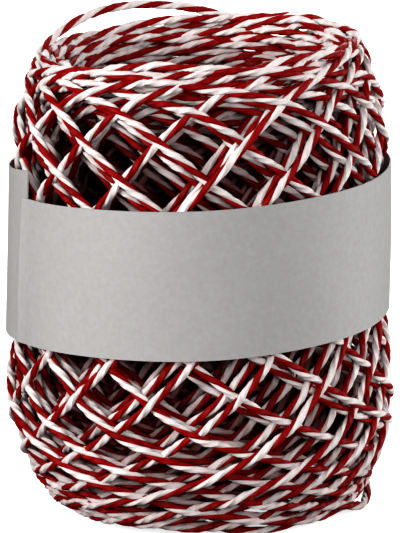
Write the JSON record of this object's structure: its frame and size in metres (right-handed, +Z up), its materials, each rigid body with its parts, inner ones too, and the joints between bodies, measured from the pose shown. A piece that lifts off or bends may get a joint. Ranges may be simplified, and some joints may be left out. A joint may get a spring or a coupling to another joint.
{
  "type": "roll of paper cord",
  "caption": "Hollow barrel-shaped roll of cross-wound two-ply paper cord, deep red and white, with a bare grey paper band round its middle.",
  "frame": {"origin": "centre of the roll's base, on the surface it stands on", "axes": "+Z up along the roll's axis, -Y towards the front, +X to the right seen from the front; the band's lap is near -X"},
  "size_m": [0.0788, 0.0788, 0.097],
  "materials": {
    "paper_cord": "matt twisted paper, one deep red ply and one white ply",
    "paper_band": "smooth uncoated grey paper with pale cut edges"
  },
  "bodies": {
    "root": {"winding": "paper_cord", "band": "paper_band"}
  },
  "joints": []
}
